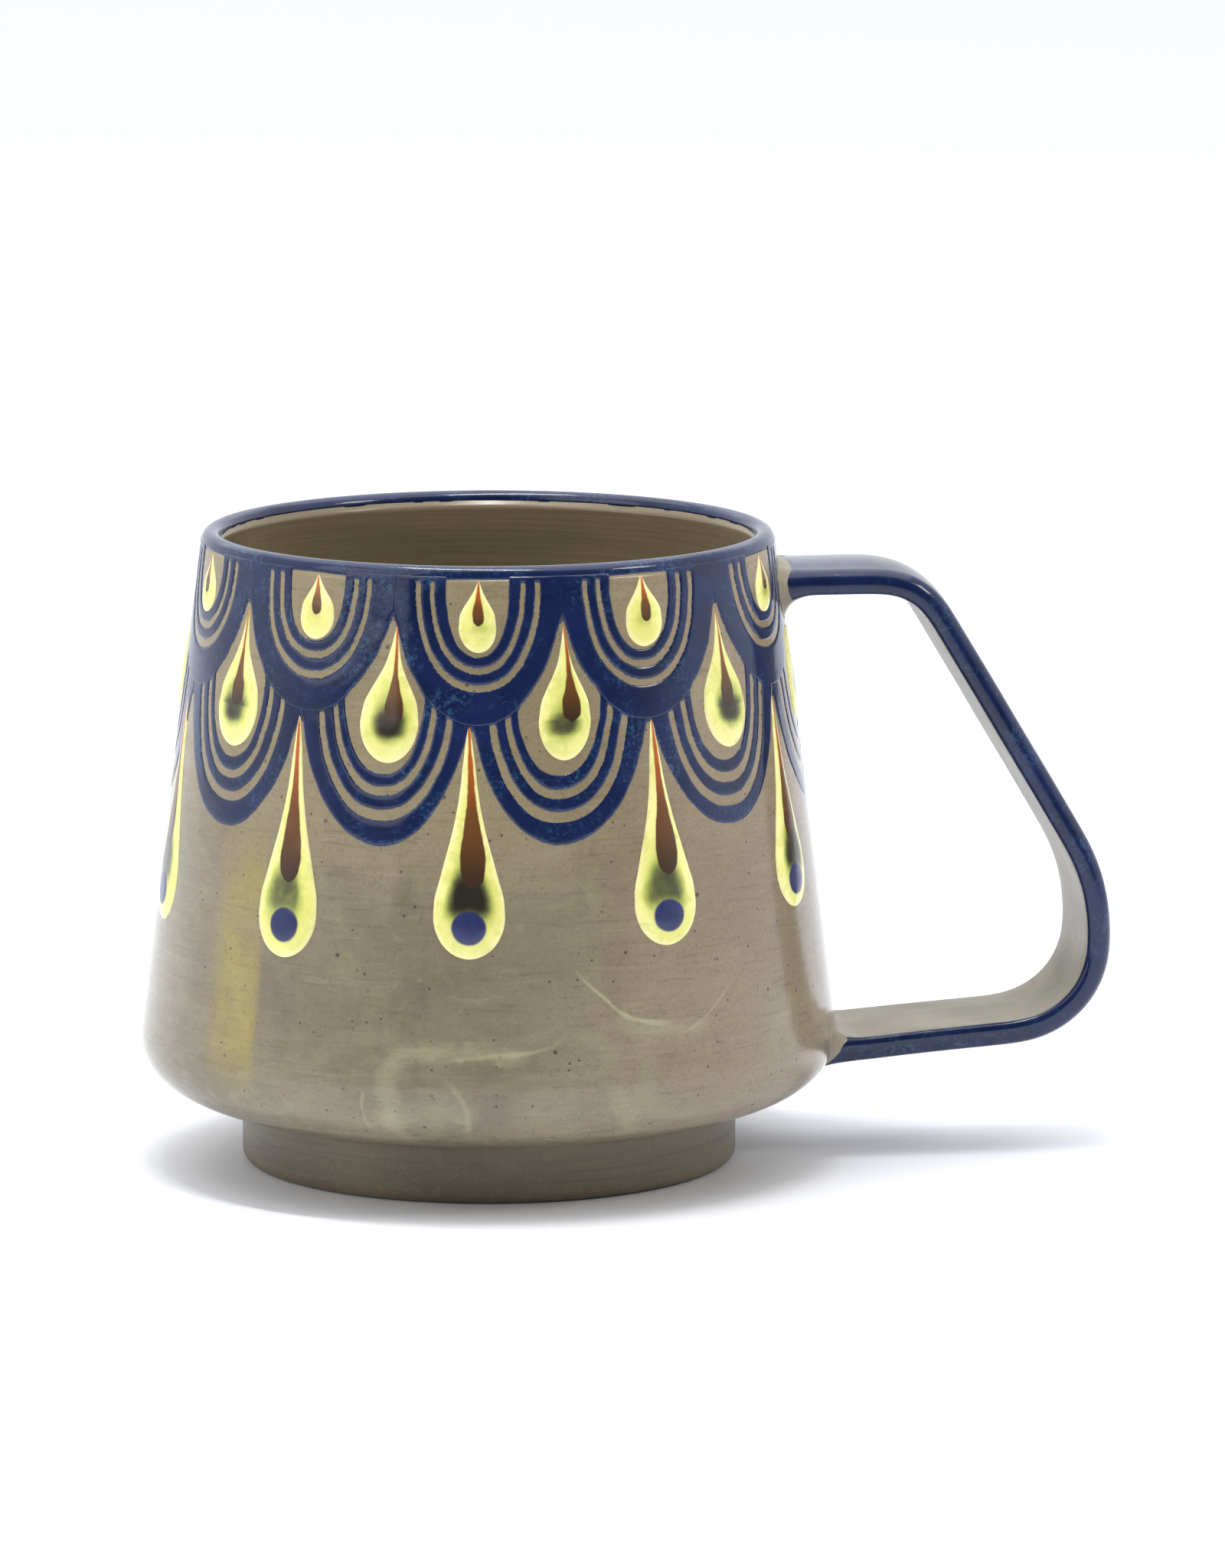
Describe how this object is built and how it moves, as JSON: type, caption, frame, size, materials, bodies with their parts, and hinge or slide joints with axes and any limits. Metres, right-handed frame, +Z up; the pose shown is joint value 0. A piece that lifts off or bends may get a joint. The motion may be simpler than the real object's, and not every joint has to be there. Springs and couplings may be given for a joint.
{
  "type": "stoneware mug",
  "caption": "Wide-based stoneware mug with a strap handle, a short round foot and rows of slip-trailed cobalt feathers and lime drops below a cobalt rim.",
  "frame": {"origin": "centre of the foot's flat underside, on the cup's axis", "axes": "+Z up along the cup's axis; +X from the axis towards the handle; +Y completes a right-handed frame"},
  "size_m": [0.1451, 0.104, 0.095],
  "materials": {
    "clay_glaze": "translucent olive-grey gloss glaze over buff stoneware, cloudy green in the lower half",
    "bare_clay": "thin dry glaze over grey-brown stoneware, slightly sandy",
    "cobalt_glaze": "deep cobalt blue under a gloss glaze, edges a little soft",
    "lime_slip": "raised lime-yellow slip, glossy, running into brown and dark green in its middle"
  },
  "bodies": {
    "root": {"cup_body": "clay_glaze", "drop_long_01": "lime_slip", "drop_long_02": "lime_slip", "drop_long_03": "lime_slip", "drop_long_04": "lime_slip", "drop_long_05": "lime_slip", "drop_long_06": "lime_slip", "drop_long_07": "lime_slip", "drop_long_08": "lime_slip", "drop_long_09": "lime_slip", "drop_long_10": "lime_slip", "drop_medium_01": "lime_slip", "drop_medium_02": "lime_slip", "drop_medium_03": "lime_slip", "drop_medium_04": "lime_slip", "drop_medium_05": "lime_slip", "drop_medium_06": "lime_slip", "drop_medium_07": "lime_slip", "drop_medium_08": "lime_slip", "drop_medium_09": "lime_slip", "drop_medium_10": "lime_slip", "drop_small_02": "lime_slip", "drop_small_03": "lime_slip", "drop_small_04": "lime_slip", "drop_small_05": "lime_slip", "drop_small_06": "lime_slip", "drop_small_07": "lime_slip", "drop_small_08": "lime_slip", "drop_small_09": "lime_slip", "drop_small_10": "lime_slip", "feather_lower_01": "cobalt_glaze", "feather_lower_02": "cobalt_glaze", "feather_lower_03": "cobalt_glaze", "feather_lower_04": "cobalt_glaze", "feather_lower_05": "cobalt_glaze", "feather_lower_06": "cobalt_glaze", "feather_lower_07": "cobalt_glaze", "feather_lower_08": "cobalt_glaze", "feather_lower_09": "cobalt_glaze", "feather_lower_10": "cobalt_glaze", "feather_upper_01": "cobalt_glaze", "feather_upper_02": "cobalt_glaze", "feather_upper_03": "cobalt_glaze", "feather_upper_04": "cobalt_glaze", "feather_upper_05": "cobalt_glaze", "feather_upper_06": "cobalt_glaze", "feather_upper_07": "cobalt_glaze", "feather_upper_08": "cobalt_glaze", "feather_upper_09": "cobalt_glaze", "feather_upper_10": "cobalt_glaze", "foot": "bare_clay", "handle_coat": "cobalt_glaze", "handle_lower_joint": "clay_glaze", "handle_strap": "clay_glaze", "handle_upper_joint": "clay_glaze", "rim_coat": "cobalt_glaze"}
  },
  "joints": []
}
